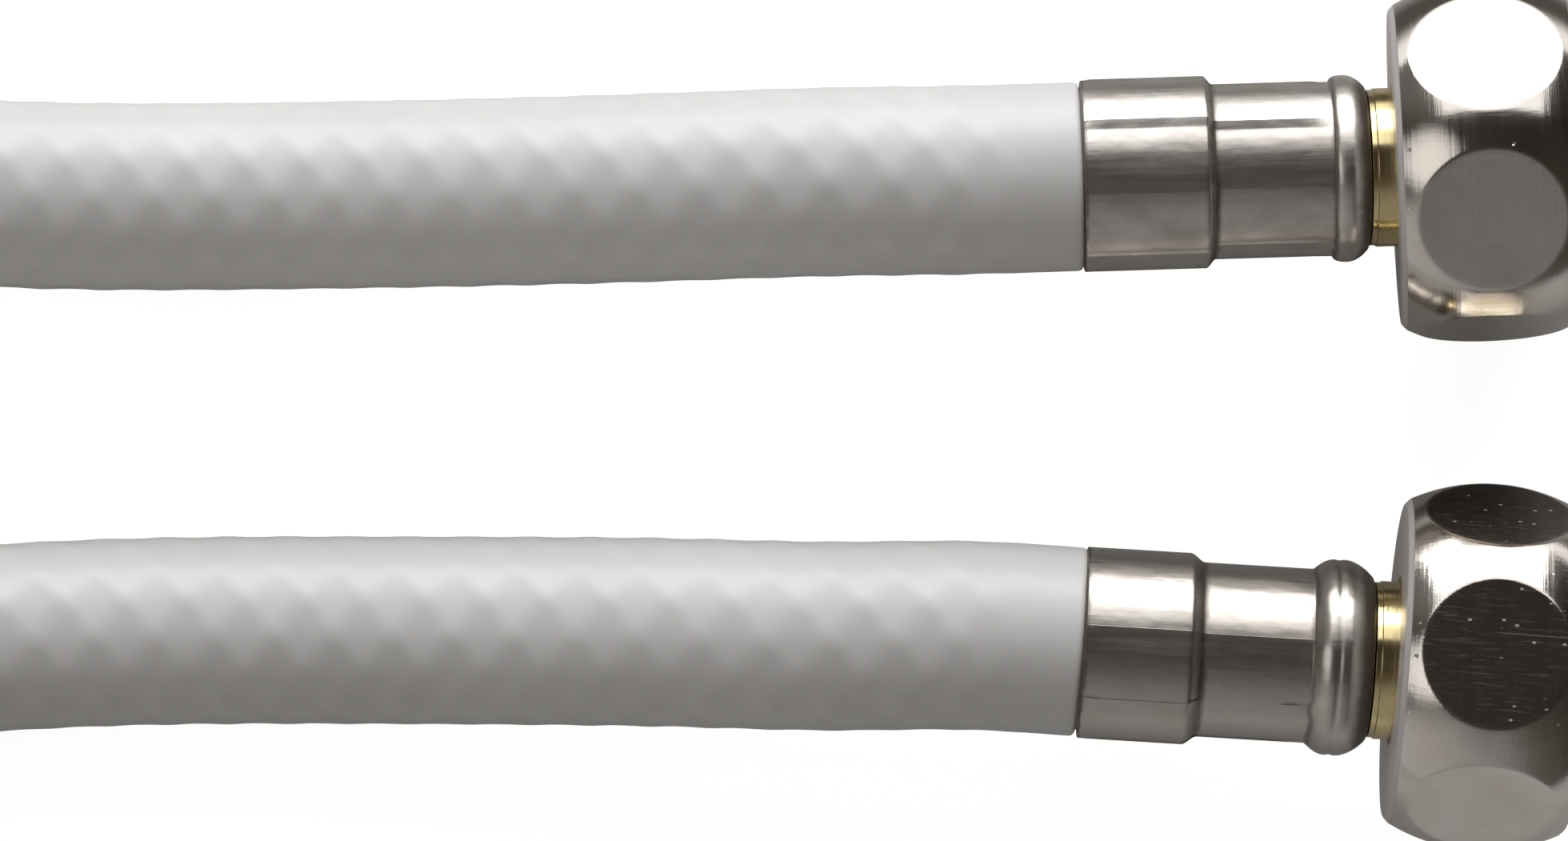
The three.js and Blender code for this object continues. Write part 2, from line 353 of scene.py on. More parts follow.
@dataclass(frozen=True)
class CrimpedSteel:
    """Bright stainless sheet with drawing marks, soft dents from the jaws, and painted shade in its
    corners and on its rolled end.

    The painted shade bands are places along the sleeve in millimetres, no further on than its
    reach, and how dark the painted shade is there.
    """

    name: str
    painted_shade_bands: tuple[tuple[float, float], ...]
    colour: Triple
    worn: Triple = (0.55, 0.5, 0.455)
    # The colour of the painted shade.
    dark: Triple = (0.13, 0.105, 0.085)
    roughness: float = 0.3
    reach: float = 21.0
    smear_depth: float = 0.000014
    ripple_depth: float = 0.00001
    dent_depth: float = 0.00006

    def make(self) -> bpy.types.Material:
        """Builds the material.

        Returns:
            The material.
        """
        material, sheet = new_sheet(self.name)
        smear = sheet.noise((90, 1300, 1300), 4.0, 0.6)
        fine = sheet.noise((240, 6000, 6000), 2.0, 0.6)
        dents = sheet.noise((300, 420, 420), 2.0)
        ripple = sheet.noise((900, 1500, 1500), 2.0)
        stain = sheet.ramp(sheet.noise((260, 380, 380), 3.0, 0.6), [(0.4, 0.0), (0.68, 1.0)])
        along = sheet.axes(sheet.place((1 / (self.reach * MM), 1, 1)))[0] + 0.012 * (stain - 0.5)
        stops = [(place / self.reach, shade) for place, shade in self.painted_shade_bands]
        # Painted shade: the colour darkens towards the dark one at the mouth, at the foot of the
        # shoulder, where the bead starts and on the rolled end.
        painted_shade = sheet.ramp(along, stops, True)
        plain = sheet.mix(stain * 0.75, self.colour, self.worn)
        lines = sheet.bump(ripple, self.ripple_depth, sheet.bump(smear, self.smear_depth))
        sheet.surface({
            "Base Color": sheet.mix(painted_shade, plain, self.dark),
            "Metallic": 1.0,
            "Roughness": (self.roughness + 0.16 * (smear - 0.5) + 0.08 * (fine - 0.5)
                          + 0.05 * stain + 0.12 * painted_shade),
            "Normal": sheet.bump(dents, self.dent_depth, lines),
        })
        return material


@dataclass(frozen=True)
class NickelPlating:
    """Polished nickel over turned brass, with tool marks, pits, specks and scratches, and a painted
    sheen on its back face.

    From 0 to 1, wear is how scratched it is, and rubbed is how far one patch shows the brass.
    """

    name: str
    wear: float
    rubbed: float
    colour: Triple = (0.72, 0.685, 0.64)
    brown: Triple = (0.61, 0.55, 0.49)
    dust: Triple = (0.7, 0.68, 0.65)
    # Pale colour of the back face, a painted sheen.
    matt_painted_sheen: Triple = (0.72, 0.7, 0.7)
    brass: Triple = (0.56, 0.49, 0.34)
    roughness: float = 0.12
    turning_depth: float = 0.000013
    milling_depth: float = 0.000004
    worn_milling: float = 0.000006
    pit_depth: float = 0.00004
    long_scratch: float = 0.0028

    def _scratches(self, sheet: NodeSheet) -> Wire:
        """Fine scratches along the nut, with one long one across the upper side.

        Args:
            sheet: The material's node sheet.

        Returns:
            1 in a scratch and 0 outside them.
        """
        fine = sheet.ramp(sheet.noise((480, 5200, 5200), 3.0, 0.65), [(0.55, 0.0), (0.72, 1.0)])
        along, aside, up = sheet.axes(sheet.place((1, 1, 1)))
        across = (aside - self.long_scratch) * 3000 + 0.5
        line = sheet.ramp(across, [(0.3, 0.0), (0.5, 1.0), (0.7, 0.0)])
        ahead = sheet.ramp(along * 1000 + 0.5, [(0.0, 0.0), (1.0, 1.0)])
        top = sheet.ramp(up * 100, [(0.9, 0.0), (1.0, 1.0)])
        return (fine * 0.45).at_least(line * ahead * top) * self.wear

    def _rubbed_patch(self, sheet: NodeSheet) -> Wire:
        """A patch low on the -Y side where the plating is rubbed through to the brass.

        Args:
            sheet: The material's node sheet.

        Returns:
            1 in the patch and 0 outside it.
        """
        along, aside, up = sheet.axes(sheet.place((160, 160, 160)))
        streaks = sheet.noise((260, 2600, 2600), 3.0, 0.6)
        middle = sheet.ramp(
            along + 0.5, [(0.0, 0.0), (0.35, 1.0), (0.65, 1.0), (1.0, 0.0)], True)
        low = sheet.ramp(
            aside + 2.4, [(0.57, 0.0), (0.68, 1.0), (0.8, 1.0), (0.95, 0.0)], True)
        upper = sheet.ramp(up, [(0.1, 0.0), (0.4, 1.0)])
        return middle * low * upper * (0.15 + streaks) * self.rubbed

    def make(self) -> bpy.types.Material:
        """Builds the material.

        Returns:
            The material.
        """
        material, sheet = new_sheet(self.name)
        turning = sheet.noise((2400, 60, 60), 4.0, 0.62)
        milling = sheet.noise((140, 2400, 2400), 3.0, 0.6)
        cloud = sheet.noise((160, 160, 160), 3.0, 0.55)
        pits = sheet.dots((700, 700, 700), 0.05, 0.07, 0.1)
        specks = sheet.dots((900, 1500, 1500), 0.07, 0.1, 0.3) * self.wear
        scratches = self._scratches(sheet)
        tint = sheet.ramp(cloud, [(0.36, 0.0), (0.68, 1.0)])
        lines = sheet.bump(turning, self.turning_depth)
        marks = sheet.bump(milling, self.milling_depth + self.worn_milling * self.wear, lines)
        plain = sheet.mix(tint * 0.7, self.colour, self.brown)
        loose = (scratches * 0.28).at_least(specks)
        rubbed = self._rubbed_patch(sheet)
        polished = sheet.mix(rubbed, sheet.mix(loose, plain, self.dust), self.brass)
        # Painted sheen: the back face gets a pale matt colour and less metal, so that it shows
        # light.
        behind = sheet.axes(sheet.place((-100, 100, 100)))[0]
        sheen_back_face = sheet.ramp(behind, [(0.603, 0.0), (0.612, 1.0)])
        sheet.surface({
            "Base Color": sheet.mix(sheen_back_face, polished, self.matt_painted_sheen),
            "Metallic": (1 - 0.6 * loose) * (1 - 0.55 * sheen_back_face),
            "Roughness": (self.roughness + 0.1 * (turning - 0.5) + 0.3 * loose + 0.05 * tint
                          + 0.26 * sheen_back_face + 0.25 * rubbed),
            "Normal": sheet.bump(1 - pits, self.pit_depth, marks),
        })
        return material


@dataclass(frozen=True)
class TurnedBrass:
    """Bare brass with the lathe's fine rings."""

    colour: Triple = (0.86, 0.71, 0.37)
    dull: Triple = (0.5, 0.42, 0.24)
    roughness: float = 0.14
    ring_depth: float = 0.00001

    def make(self) -> bpy.types.Material:
        """Builds the material.

        Returns:
            The material.
        """
        material, sheet = new_sheet("turned_brass")
        rings = sheet.noise((5200, 40, 40), 3.0, 0.6)
        bloom = sheet.noise((500, 260, 260), 3.0, 0.6)
        tarnish = sheet.ramp(bloom, [(0.4, 0.0), (0.72, 1.0)])
        sheet.surface({
            "Base Color": sheet.mix(tarnish * 0.85, self.colour, self.dull),
            "Metallic": 1.0,
            "Roughness": self.roughness + 0.14 * (rings - 0.5) + 0.08 * tarnish,
            "Normal": sheet.bump(rings, self.ring_depth),
        })
        return material


@dataclass(frozen=True)
class SealRubber:
    """Matt black moulded rubber."""

    colour: Triple = (0.022, 0.022, 0.023)
    dusty: Triple = (0.05, 0.05, 0.05)
    roughness: float = 0.62
    grain_depth: float = 0.00002

    def make(self) -> bpy.types.Material:
        """Builds the material.

        Returns:
            The material.
        """
        material, sheet = new_sheet("seal_rubber")
        grain = sheet.noise((3400, 3400, 3400), 3.0)
        bloom = sheet.noise((300, 300, 300), 3.0)
        dust = sheet.ramp(bloom, [(0.45, 0.0), (0.75, 1.0)])
        sheet.surface({
            "Base Color": sheet.mix(dust, self.colour, self.dusty),
            "Roughness": self.roughness + 0.12 * (bloom - 0.5),
            "Normal": sheet.bump(grain, self.grain_depth),
        })
        return material


@dataclass(frozen=True)
class StudioPaper:
    """The pale floor. It takes the shadows, and shows as white to the camera.

    In what the metal mirrors of it, a painted glow makes it whiter towards the light and a little
    whiter on the other side, and painted shade dims it in two strips beside the fittings.
    """

    colour: Triple = (0.62, 0.615, 0.605)
    fibre: Triple = (0.55, 0.545, 0.535)
    # The colour of the painted shade that the metal mirrors in two strips beside the fittings.
    dim: Triple = (0.12, 0.105, 0.095)
    to_camera: float = 0.88

    def make(self) -> bpy.types.Material:
        """Builds the material.

        Returns:
            The material.
        """
        material, sheet = new_sheet("studio_paper")
        path = sheet.node("ShaderNodeLightPath")
        seen = sheet.out(path, "Is Camera Ray") * self.to_camera
        mirrored = sheet.out(path, "Is Glossy Ray").at_least(sheet.out(path, "Is Transmission Ray"))
        fibre = sheet.noise((35, 35, 35), 3.0)
        across = sheet.axes(sheet.place((1, 1, 1)))[1] * 5 + 0.5
        # Painted reflection: a glow that only mirrored rays see, strong towards the light and faint
        # on the other side.
        painted_reflection_glow = sheet.ramp(across, [
            (0.0, 0.14), (0.3, 0.08), (0.45, 0.0), (0.8, 0.0), (1.0, 0.85)])
        # Painted shade: for mirrored rays the floor darkens to the dim colour in two strips beside
        # the fittings.
        near = sheet.ramp(across, [
            (0.515, 0.0), (0.54, 0.85), (0.57, 0.85), (0.6, 0.0), (0.66, 0.0), (0.73, 0.9),
            (0.8, 0.9), (0.95, 0.0)], True)
        plain = sheet.mix(fibre * 0.1, self.colour, self.fibre)
        sheet.surface({
            "Base Color": sheet.mix(mirrored * near, plain, self.dim),
            "Roughness": 0.9,
            "Specular IOR Level": 0.0,
            "Emission Color": sheet.mix(seen + mirrored * painted_reflection_glow, BLACK, WHITE),
            "Emission Strength": 1.0,
        })
        return material


# ---------------------------------------------------------------------------------------------
# Meshes


def rounded(
    points: Sequence[tuple[float, float]],
    radii: Sequence[float],
    steps: int = 4,
) -> Profile:
    """Rounds the corners of a closed profile.

    Args:
        points: Its corners.
        radii: How far from each corner its rounding starts, and 0 for a sharp one.
        steps: Spans in one rounding.

    Returns:
        The profile with its corners rounded.
    """
    result: Profile = []
    count = len(points)
    for i, corner in enumerate(points):
        here = np.array(corner)
        before = np.array(points[i - 1])
        after = np.array(points[(i + 1) % count])
        reach = radii[i]
        if reach <= 0:
            result.append((float(here[0]), float(here[1])))
            continue
        back = before - here
        ahead = after - here
        start = here + back * min(reach / np.linalg.norm(back), 0.45)
        end = here + ahead * min(reach / np.linalg.norm(ahead), 0.45)
        for k in range(steps + 1):
            t = k / steps
            spot = (1 - t) ** 2 * start + 2 * t * (1 - t) * here + t * t * end
            result.append((float(spot[0]), float(spot[1])))
    return result


def smooth_line(points: Sequence[tuple[float, float]], spans: int) -> Profile:
    """A smooth line through some points.

    Args:
        points: The points in order.
        spans: Spans between two points.

    Returns:
        The denser line, with both ends kept.
    """
    knots = np.array([points[0], *points, points[-1]], dtype=float)
    line: Profile = []
    for i in range(1, len(knots) - 2):
        a, b, c, d = knots[i - 1:i + 3]
        for k in range(spans):
            t = k / spans
            spot = 0.5 * (2 * b + (c - a) * t + (2 * a - 5 * b + 4 * c - d) * t * t
                          + (3 * b - a - 3 * c + d) * t ** 3)
            line.append((float(spot[0]), float(spot[1])))
    line.append((float(points[-1][0]), float(points[-1][1])))
    return line


def walked(points: np.ndarray) -> np.ndarray:
    """How far along a line of points each of them lies, from 0 at the first."""
    return np.concatenate([[0], np.cumsum(np.linalg.norm(np.diff(points, axis=0), axis=1))])


def turned(
    profile: Profile,
    angles: np.ndarray,
    change: Callable[[np.ndarray, np.ndarray, np.ndarray], np.ndarray] | None = None,
) -> tuple[np.ndarray, np.ndarray]:
    """Turns a closed profile about the X axis.

    Args:
        profile: Pairs of distance along the axis and radius.
        angles: The angles of its copies, from +Z towards -Y.
        change: What turns place, radius and angle into a changed radius.

    Returns:
        The points and the four-sided faces.
    """
    along = np.array([p[0] for p in profile])
    radius = np.array([p[1] for p in profile])
    grid_along = np.repeat(along[None, :], len(angles), axis=0)
    grid_radius = np.repeat(radius[None, :], len(angles), axis=0)
    grid_angle = np.repeat(angles[:, None], len(profile), axis=1)
    if change is not None:
        grid_radius = change(grid_along, grid_radius, grid_angle)
    points = np.stack(
        [grid_along, -grid_radius * np.sin(grid_angle), grid_radius * np.cos(grid_angle)], axis=-1)
    return points.reshape(-1, 3), wrapped_faces(len(angles), len(profile))


def wrapped_faces(rows: int, columns: int) -> np.ndarray:
    """Faces of a grid that closes on itself both ways.

    Args:
        rows: How many rows.
        columns: How many points in a row.

    Returns:
        Four point numbers for each face.
    """
    i, j = np.meshgrid(np.arange(rows), np.arange(columns), indexing="ij")
    ni, nj = (i + 1) % rows, (j + 1) % columns
    corners = [i * columns + j, ni * columns + j, ni * columns + nj, i * columns + nj]
    return np.stack(corners, axis=-1).reshape(-1, 4)


def put_in_scene(name: str, data: Any) -> bpy.types.Object:
    """Adds an object to the scene.

    Args:
        name: Its name.
        data: Its mesh, lamp or camera data.

    Returns:
        The new object.
    """
    thing = bpy.data.objects.new(name, data)
    bpy.context.scene.collection.objects.link(thing)
    return thing


def make_piece(
    name: str,
    points: np.ndarray,
    faces: Any,
    material: bpy.types.Material,
    sharp: float,
    weld: float = 0.0,
) -> bpy.types.Object:
    """Makes an object from points and faces, with its faces turned outwards.

    Args:
        name: Its name.
        points: Its points in millimetres.
        faces: Point numbers of each face.
        material: Its finish.
        sharp: Edges that bend more than this many degrees stay sharp.
        weld: Points closer than this many millimetres become one.

    Returns:
        The new object.
    """
    mesh = bpy.data.meshes.new(name)
    mesh.from_pydata((points * MM).tolist(), [], [list(face) for face in faces])
    work = bmesh.new()
    work.from_mesh(mesh)
    if weld > 0:
        bmesh.ops.remove_doubles(work, verts=work.verts, dist=weld * MM)
    bmesh.ops.recalc_face_normals(work, faces=work.faces)
    work.to_mesh(mesh)
    work.free()
    mesh.shade_smooth()
    mesh.set_sharp_from_angle(angle=math.radians(sharp))
    mesh.materials.append(material)
    return put_in_scene(name, mesh)


# ---------------------------------------------------------------------------------------------
# The hose


@dataclass
class BraidedHose:
    """The hose from one squeezed end to the other, with the braid showing through its cover."""

    finish: HosePlastic
    back: "EndFitting"
    front: "EndFitting"
    radius: float = 6.75
    bore_radius: float = 4.0
    held_bore: float = 4.35
    bore_every: int = 8
    squeezed_by: float = 0.2
    straight_out: float = 8.0
    route_step: float = 0.1
    first_ring: float = 1.4
    ring_step: float = 0.5
    sides: int = 64
    strands: int = 8
    lead: float = 35.2
    main_relief: float = 0.02
    cross_relief: float = 0.01
    dimple_relief: float = 0.007
    drift: float = 0.25
    drift_length: float = 5.3
    fade_from: float = 2.0
    fade_to: float = 9.5
    depth_in: float = 17.0
    sharp: float = 40.0
    shoulder: tuple[tuple[float, float], ...] = (
        (0.0, 6.2), (0.05, 6.3), (0.1, 6.48), (0.18, 6.62), (0.3, 6.71), (0.48, 6.745), (0.8, 6.75))
    route: tuple[Triple, ...] = (
        (-35.0, 16.9, 12.0), (-46.0, 16.6, 11.0), (-58.0, 16.3, 9.4), (-71.0, 16.1, 7.8),
        (-84.0, 16.0, 7.0), (-97.5, 16.3, 6.8), (-113.8, 18.7, 6.8), (-128.4, 25.5, 6.8),
        (-140.8, 36.4, 6.8), (-156.0, 49.4, 6.8), (-174.6, 56.1, 6.8), (-194.4, 56.1, 6.8),
        (-213.0, 49.4, 6.8), (-228.2, 36.6, 6.8), (-238.1, 19.5, 6.8), (-241.5, 0.0, 6.8),
        (-238.1, -19.5, 6.8), (-228.2, -36.6, 6.8), (-213.0, -49.4, 6.8), (-194.4, -56.1, 6.8),
        (-174.6, -56.1, 6.8), (-156.0, -49.4, 6.8), (-140.8, -36.4, 6.8), (-128.4, -25.6, 6.8),
        (-113.8, -18.6, 6.8), (-97.5, -16.0, 6.8), (-84.0, -15.4, 7.0), (-71.0, -15.3, 7.8),
        (-58.0, -15.3, 9.3), (-46.0, -15.4, 10.8), (-35.0, -15.6, 11.7),
    )

    def _knots(self) -> np.ndarray:
        """The points that the free hose passes through, mouth to mouth.

        Returns:
            The points, one in a row.
        """
        places = (0.0, self.straight_out)
        start = [self.back.behind_mouth(place) for place in places]
        end = [self.front.behind_mouth(place) for place in places[::-1]]
        return np.array([*start, *self.route, *end])

    def _smooth_route(self) -> np.ndarray:
        """A dense, evenly bending line through the knots.

        Returns:
            Points in millimetres, about a route step apart.
        """
        knots = self._knots()
        chord = walked(knots)
        count = len(knots)
        step = np.diff(chord)
        table = np.zeros((count, count))
        known = np.zeros((count, 3))
        table[0, 0] = table[-1, -1] = 1
        for i in range(1, count - 1):
            table[i, i - 1:i + 2] = [step[i - 1], 2 * (step[i - 1] + step[i]), step[i]]
            known[i] = 6 * ((knots[i + 1] - knots[i]) / step[i]
                            - (knots[i] - knots[i - 1]) / step[i - 1])
        bend = np.linalg.solve(table, known)
        dense = np.linspace(0, chord[-1], int(chord[-1] / self.route_step))
        k = np.clip(np.searchsorted(chord, dense, side="right") - 1, 0, count - 2)
        h = step[k][:, None]
        a = (chord[k + 1] - dense)[:, None] / h
        b = 1 - a
        curve = (a ** 3 - a) * bend[k] + (b ** 3 - b) * bend[k + 1]
        return a * knots[k] + b * knots[k + 1] + curve * h * h / 6

    def _rings(self) -> tuple[np.ndarray, np.ndarray, np.ndarray]:
        """Where the rings of the skin lie.

        Returns:
            Ring centres, ring radii and how strongly the braid shows, from 0 to 1.
        """
        dense = self._smooth_route()
        passed = walked(dense)
        length = passed[-1]
        free = np.arange(self.first_ring, length - self.first_ring, self.ring_step)
        near = np.array([s for s, _ in self.shoulder])
        where = np.concatenate([near, free, length - near[::-1]])
        radii = np.concatenate([
            [r for _, r in self.shoulder], np.full(len(free), self.radius),
            [r for _, r in self.shoulder[::-1]]])
        centres = np.stack([np.interp(where, passed, dense[:, k]) for k in range(3)], axis=1)
        depth = np.minimum(where, length - where)
        ease = np.clip((depth - self.fade_from) / (self.fade_to - self.fade_from), 0, 1)
        show = ease * ease * (3 - 2 * ease)
        back_in, front_in = self.back.squeeze, self.front.squeeze
        centres = np.concatenate([
            [self.back.behind_mouth(-u) for u, _ in back_in[::-1]], centres,
            [self.front.behind_mouth(-u) for u, _ in front_in]])
        radii = np.concatenate([[r for _, r in back_in[::-1]], radii, [r for _, r in front_in]])
        show = np.concatenate([np.zeros(len(back_in)), show, np.zeros(len(front_in))])
        return centres, radii, show

    def _skin(self, centres: np.ndarray, radii: np.ndarray, show: np.ndarray) -> np.ndarray:
        """Rings of points about the given centres.

        Args:
            centres: Ring centres.
            radii: Ring radii.
            show: How strongly the braid shows at each ring.

        Returns:
            An array of rings, each with its points.
        """
        ahead = np.gradient(centres, axis=0)
        ahead /= np.linalg.norm(ahead, axis=1)[:, None]
        upright = np.array([0, 0, 1.0]) - ahead[:, 2:3] * ahead
        upright /= np.linalg.norm(upright, axis=1)[:, None]
        aside = np.cross(ahead, upright)
        passed = walked(centres)[:, None]
        angle = np.linspace(0, 2 * math.pi, self.sides, endpoint=False)
        turn = 2 * math.pi * self.strands * passed / self.lead
        main = np.cos(self.strands * angle[None, :] - turn)
        cross = np.cos(self.strands * angle[None, :] + turn)
        drift = 1 + self.drift * np.sin(passed / self.drift_length + 2 * angle[None, :])
        relief = (self.main_relief * main + self.cross_relief * cross
                  + self.dimple_relief * main * cross) * drift * show[:, None]
        reach = (radii[:, None] + relief)[:, :, None]
        spoke = (upright[:, None, :] * np.cos(angle)[None, :, None]
                 + aside[:, None, :] * np.sin(angle)[None, :, None])
        return centres[:, None, :] + reach * spoke

    def _map_skin(self, piece: bpy.types.Object, strands_passed: np.ndarray) -> None:
        """Gives the hose a map of strands passed along it and strands passed around it.

        Args:
            piece: The hose.
            strands_passed: Strands passed along the hose up to each ring.
        """
        mesh = piece.data
        layer = mesh.uv_layers.new(name="skin")
        point = np.empty(len(mesh.loops), dtype=np.int32)
        mesh.loops.foreach_get("vertex_index", point)
        ring, side = point // self.sides, point % self.sides
        of_face = side.reshape(-1, 4)
        closes = (of_face.max(axis=1) == self.sides - 1) & (of_face.min(axis=1) == 0)
        side = np.where(np.repeat(closes, 4) & (side == 0), self.sides, side)
        spot = np.stack([strands_passed[ring], side * self.strands / self.sides], axis=1)
        layer.data.foreach_set("uv", spot.astype(np.float32).ravel())

    def build(self) -> bpy.types.Object:
        """Returns:
            The hose.
        """
        centres, radii, show = self._rings()
        outside = self._skin(centres, radii, show)
        keep = np.append(np.arange(0, len(centres) - 1, self.bore_every), len(centres) - 1)
        bore = np.full(len(keep), self.bore_radius)
        bore[radii[keep] < self.radius - self.squeezed_by] = self.held_bore
        inside = self._skin(centres[keep], bore, np.zeros(len(keep)))
        rings = np.concatenate([outside, inside[::-1]])
        points = rings.reshape(-1, 3)
        faces = wrapped_faces(len(rings), self.sides)
        passed = self.strands * walked(centres) / self.lead
        length = float(walked(centres)[-1])
        ends = ((self.fade_from + self.depth_in) / length, (self.fade_to + self.depth_in) / length)
        material = self.finish.make(float(passed[-1]), ends)
        piece = make_piece("braided_hose", points, faces, material, self.sharp)
        self._map_skin(piece, np.concatenate([passed, passed[keep][::-1]]))
        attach(piece, "root")
        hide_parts("hose")
        tuple((self.back.behind_mouth(0.0) * MM).tolist())
        2 * self.radius * MM
        return piece


# ---------------------------------------------------------------------------------------------
# The fittings


@dataclass
class CrimpFerrule:
    """Thin steel sleeve with eight crimp ridges, two crimped bands and a bead.

    The wide band starts at the mouth, and a shoulder leads down to the narrow one. Each ridge
    has its own share of the ridge height, counted from the one next to the top.
    """

    finish_name: str
    colour: Triple
    band: float
    shoulder: float
    bead: Profile
    ridge_turn: float
    ridge_shares: tuple[float, ...]
    first: float = 6.85
    second: float = 6.23
    wall: float = 0.45
    length: float = 20.5
    lip: float = 5.7
    lip_hole: float = 5.05
    ridge_count: int = 8
    ridge_width: float = 0.74
    ridge_height: float = 0.2
    ridge_top: float = 0.06
    ridge_fall: float = 1.15
    ridge_steps: int = 17
    flattened: float = 0.03
    sharp: float = 38.0

    def _ridge_angles(self) -> tuple[float, float]:
        """The angle from one ridge to the next and half a ridge's own, in radians."""
        return 2 * math.pi / self.ridge_count, self.ridge_width / 2 / self.first

    def _outside(self) -> Profile:
        """The outside from the mouth to the lip.

        Returns:
            Pairs of distance from the mouth and radius.
        """
        end = self.band + self.shoulder
        step = self.first - self.second
        slope = [(self.band + self.shoulder * t,
                  self.first - step * (3 * t * t - 2 * t ** 3)) for t in np.linspace(0, 1, 9)]
        mouth = [(0.0, self.first - 0.14), (0.03, self.first - 0.06), (0.1, self.first)]
        plain = [(float(u), self.first) for u in np.linspace(0.6, self.band - 0.3, 8)]
        start = self.bead[0][0]
        level = [(float(u), self.second) for u in np.linspace(end + 0.3, start - 0.15, 8)]
        return [*mouth, *plain, *slope, *level, *smooth_line(self.bead, 5)]

    def _inside(self) -> Profile:
        """The inside from the lip to the mouth.

        Returns:
            Pairs of distance from the mouth and radius.
        """
        end = self.band + self.shoulder
        start = self.bead[0][0]
        inner = self.second - self.wall
        return [
            (self.length, self.lip_hole), (self.length - self.wall, self.lip_hole),
            (self.length - self.wall, self.lip - self.wall), (start + 1.5, inner + 0.25),
            (start, inner), (end, inner), (self.band, self.first - self.wall),
            (0.0, self.first - self.wall),
        ]

    def _angles(self) -> np.ndarray:
        """The angles of the profile's copies, closer together on the ridges.

        Returns:
            The angles in radians, from +Z towards -Y.
        """
        pitch, half = self._ridge_angles()
        on_ridge = np.linspace(-half, half, self.ridge_steps)
        between = np.linspace(half, pitch - half, self.ridge_steps)[1:-1]
        one = np.concatenate([on_ridge, between])
        turn = math.radians(self.ridge_turn)
        return np.concatenate([one + turn + k * pitch for k in range(self.ridge_count)])

    def _raise(self, along: np.ndarray, radius: np.ndarray, angle: np.ndarray) -> np.ndarray:
        """Raises the ridges on the outside.

        Args:
            along: Distance from the mouth.
            radius: The plain radius.
            angle: Angle from +Z towards -Y.

        Returns:
            The radius with the ridges on it.
        """
        pitch, half = self._ridge_angles()
        turned_by = np.mod(angle - math.radians(self.ridge_turn) + pitch / 2, 2 * math.pi)
        number = np.minimum((turned_by / pitch).astype(int), self.ridge_count - 1)
        off = turned_by - number * pitch - pitch / 2
        height = self.ridge_height * np.array(self.ridge_shares)[number]
        way = np.clip(off / half / 2 + 0.5, 0, 1)
        rise = np.clip(way / self.ridge_top, 0, 1)
        fall = np.clip((1 - way) / (1 - self.ridge_top), 0, 1)
        shape = np.where(
            way < self.ridge_top, rise * rise * (3 - 2 * rise), fall ** self.ridge_fall)
        end = self.bead[0][0] - 0.1
        fade = np.clip(along / 0.4, 0, 1) * np.clip((end - along) / 0.5, 0, 1)
        wide = along < self.band + self.shoulder * 0.5
        outer = radius > np.where(wide, self.first, self.second) - 0.2
        flat = self.flattened * (1 - np.cos(off * self.ridge_count)) / 2
        return radius + np.where(outer, (height * shape - flat) * fade, 0.0)

    def _painted_shade_bands(self) -> tuple[tuple[float, float], ...]:
        """Where painted shade darkens the sleeve: in its corners and on its rolled end.

        Returns:
            Places along the sleeve and how dark the painted shade is there.
        """
        end, start = self.band + self.shoulder, self.bead[0][0]
        return (
            (0.0, 0.7), (0.3, 0.0), (self.band - 0.1, 0.0), (end - 0.15, 0.75), (end + 0.3, 0.0),
            (start - 0.3, 0.0), (start + 0.05, 0.65), (start + 0.4, 0.0), (19.1, 0.0),
            (19.8, 0.85))

    def build(self, name: str) -> bpy.types.Object:
        """Builds the sleeve along its own axis, mouth at zero.

        Args:
            name: Its name.

        Returns:
            The sleeve.
        """
        profile = [*self._outside(), *self._inside()]
        points, faces = turned(profile, self._angles(), self._raise)
        steel = CrimpedSteel(self.finish_name, self._painted_shade_bands(), self.colour).make()
        return make_piece(name, points, faces, steel, self.sharp)


@dataclass
class HoseTail:
    """Turned brass tail: barbed shank, groove for the ferrule's lip, collar and flange."""

    material: bpy.types.Material
    lip_at: float
    bore: float = 2.9
    start: float = 1.0
    shank: float = 3.85
    barb: float = 4.2
    barb_count: int = 4
    barb_pitch: float = 3.4
    catch: float = 5.35
    groove: float = 4.75
    collar: float = 5.65
    flange: float = 8.2
    flange_back: float = 25.2
    flange_front: float = 26.8
    first_barb: float = 0.6
    catch_width: float = 1.1
    groove_before: float = 0.7
    groove_after: float = 0.1
    step_width: float = 0.38
    step_height: float = 0.1
    sharp: float = 38.0

    def build(self, name: str) -> bpy.types.Object:
        """Builds the tail along its own axis, the ferrule's mouth at zero.

        Args:
            name: Its name.

        Returns:
            The tail.
        """
        corners: list[Triple] = [(self.start, self.shank, 0.15)]
        for i in range(self.barb_count):
            edge = self.start + self.first_barb + (i + 1) * self.barb_pitch
            corners += [(edge, self.barb, 0.05), (edge, self.shank, 0.05)]
        groove, collar = self.lip_at - self.groove_before, self.lip_at + self.groove_after
        catch, step = groove - self.catch_width, self.collar - self.step_height
        corners += [
            (catch, self.shank, 0.05), (catch, self.catch, 0.05),
            (groove, self.catch, 0.05), (groove, self.groove, 0.05),
            (collar, self.groove, 0.05), (collar, step, 0.04),
            (collar + self.step_width, step, 0.03),
            (collar + self.step_width + 0.04, self.collar, 0.04),
            (self.flange_back, self.collar, 0.1), (self.flange_back, self.flange, 0.2),
            (self.flange_front, self.flange, 0.25), (self.flange_front, self.bore, 0.4),
            (self.start, self.bore, 0.2),
        ]
        profile = rounded([(x, r) for x, r, _ in corners], [c for _, _, c in corners])
        points, faces = turned(profile, ALL_ROUND)
        return make_piece(name, points, faces, self.material, self.sharp)


